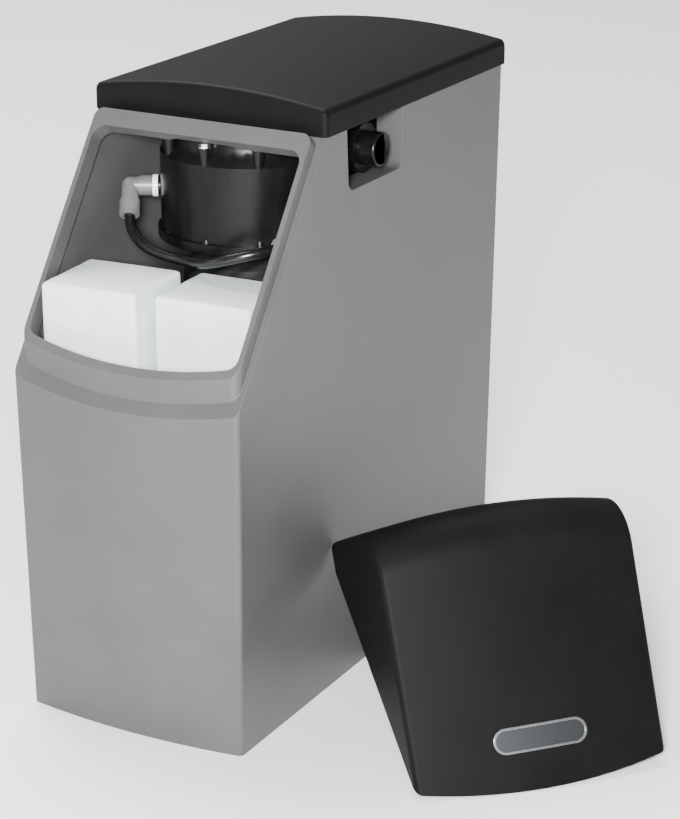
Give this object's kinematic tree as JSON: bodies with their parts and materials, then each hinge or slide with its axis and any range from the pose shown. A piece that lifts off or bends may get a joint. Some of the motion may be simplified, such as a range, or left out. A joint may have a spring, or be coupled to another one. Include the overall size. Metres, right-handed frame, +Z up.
{
  "type": "water softener",
  "caption": "Compact block-salt water softener: grey cabinet with a sloped loading hatch, black lid and loose hatch cover, salt blocks, bolted valve and resin vessels inside.",
  "frame": {"origin": "middle of the cabinet's underside, on the floor", "axes": "+Z up, front towards -Y, +X towards the side where the loose hatch cover stands"},
  "size_m": [0.566, 0.5279, 0.5505],
  "materials": {
    "body_moulding": "fine moulded grain, satin",
    "black_moulding": "fine moulded grain, satin",
    "badge": "satin plate, bare",
    "salt": "pressed salt, slightly crystalline",
    "valve_plastic": "glass-filled plastic",
    "steel": "zinc plated",
    "white_plastic": "acetal",
    "fitting": "moulded fitting",
    "seal_rubber": "moulded rubber",
    "hose": "extruded tube",
    "vessel": "wound glass-fibre and plastic liner",
    "resin": "fine resin beads"
  },
  "bodies": {
    "cabinet": {"cabinet": "body_moulding", "salt_block_lower_left": "salt", "salt_block_lower_right": "salt", "salt_platform": "black_moulding", "valve_cap": "valve_plastic", "valve_ring": "valve_plastic", "valve_base": "valve_plastic", "valve_bolts": "steel", "valve_seals": "seal_rubber", "inlet_port": "valve_plastic", "outlet_port": "valve_plastic", "port_seals": "seal_rubber", "brine_elbow": "fitting", "elbow_collar": "white_plastic", "elbow_collet": "fitting", "brine_tube": "hose", "well_elbow": "fitting", "well_collet": "fitting", "brine_well": "black_moulding", "well_cap": "black_moulding", "pickup_rod": "white_plastic", "air_check_cage": "white_plastic", "air_check_ball": "steel", "front_vessel": "vessel", "rear_vessel": "vessel", "front_resin_bed": "resin", "rear_resin_bed": "resin", "front_riser": "white_plastic", "rear_riser": "white_plastic", "front_strainer": "white_plastic", "rear_strainer": "white_plastic", "rear_vessel_head": "valve_plastic", "transfer_tubes": "valve_plastic", "drain_spigot": "valve_plastic", "overflow_elbow": "valve_plastic", "overflow_nut": "valve_plastic", "overflow_washer": "seal_rubber"},
    "lid": {"top_lid": "black_moulding"},
    "hatch": {"hatch_cover": "black_moulding", "badge_plate": "badge"},
    "salt_left": {"salt_block_upper_left": "salt"},
    "salt_right": {"salt_block_upper_right": "salt"},
    "float": {"brine_float": "fitting"},
    "control": {"control_disc": "white_plastic", "regeneration_dial": "fitting"},
    "turbine": {"meter_turbine": "white_plastic"}
  },
  "joints": [
    {"name": "lid_lift", "type": "slide", "parent": "cabinet", "child": "lid", "axis": [0, 0, 1], "range_m": [0, 0.12]},
    {"name": "hatch_carry", "type": "slide", "parent": "cabinet", "child": "hatch", "axis": [0.6, 0, 0.8], "range_m": [0, 0.25]},
    {"name": "salt_left_lift", "type": "slide", "parent": "cabinet", "child": "salt_left", "axis": [0, 0, 1], "range_m": [0, 0.2]},
    {"name": "salt_right_draw", "type": "slide", "parent": "cabinet", "child": "salt_right", "axis": [0, -0.95, 0.3122], "range_m": [0, 0.036]},
    {"name": "float_slide", "type": "slide", "parent": "cabinet", "child": "float", "axis": [0, 0, 1], "range_m": [0, 0.06]},
    {"name": "control_turn", "type": "hinge", "parent": "cabinet", "child": "control", "pos_m": [0, -0.031, 0.48], "axis": [0, 0, 1], "continuous": true},
    {"name": "turbine_turn", "type": "hinge", "parent": "cabinet", "child": "turbine", "pos_m": [0.0433, -0.006, 0.487], "axis": [0, 0, 1], "continuous": true}
  ],
  "couplings": [
    {"joint": "turbine_turn", "follows": "control_turn", "ratio": -4}
  ]
}
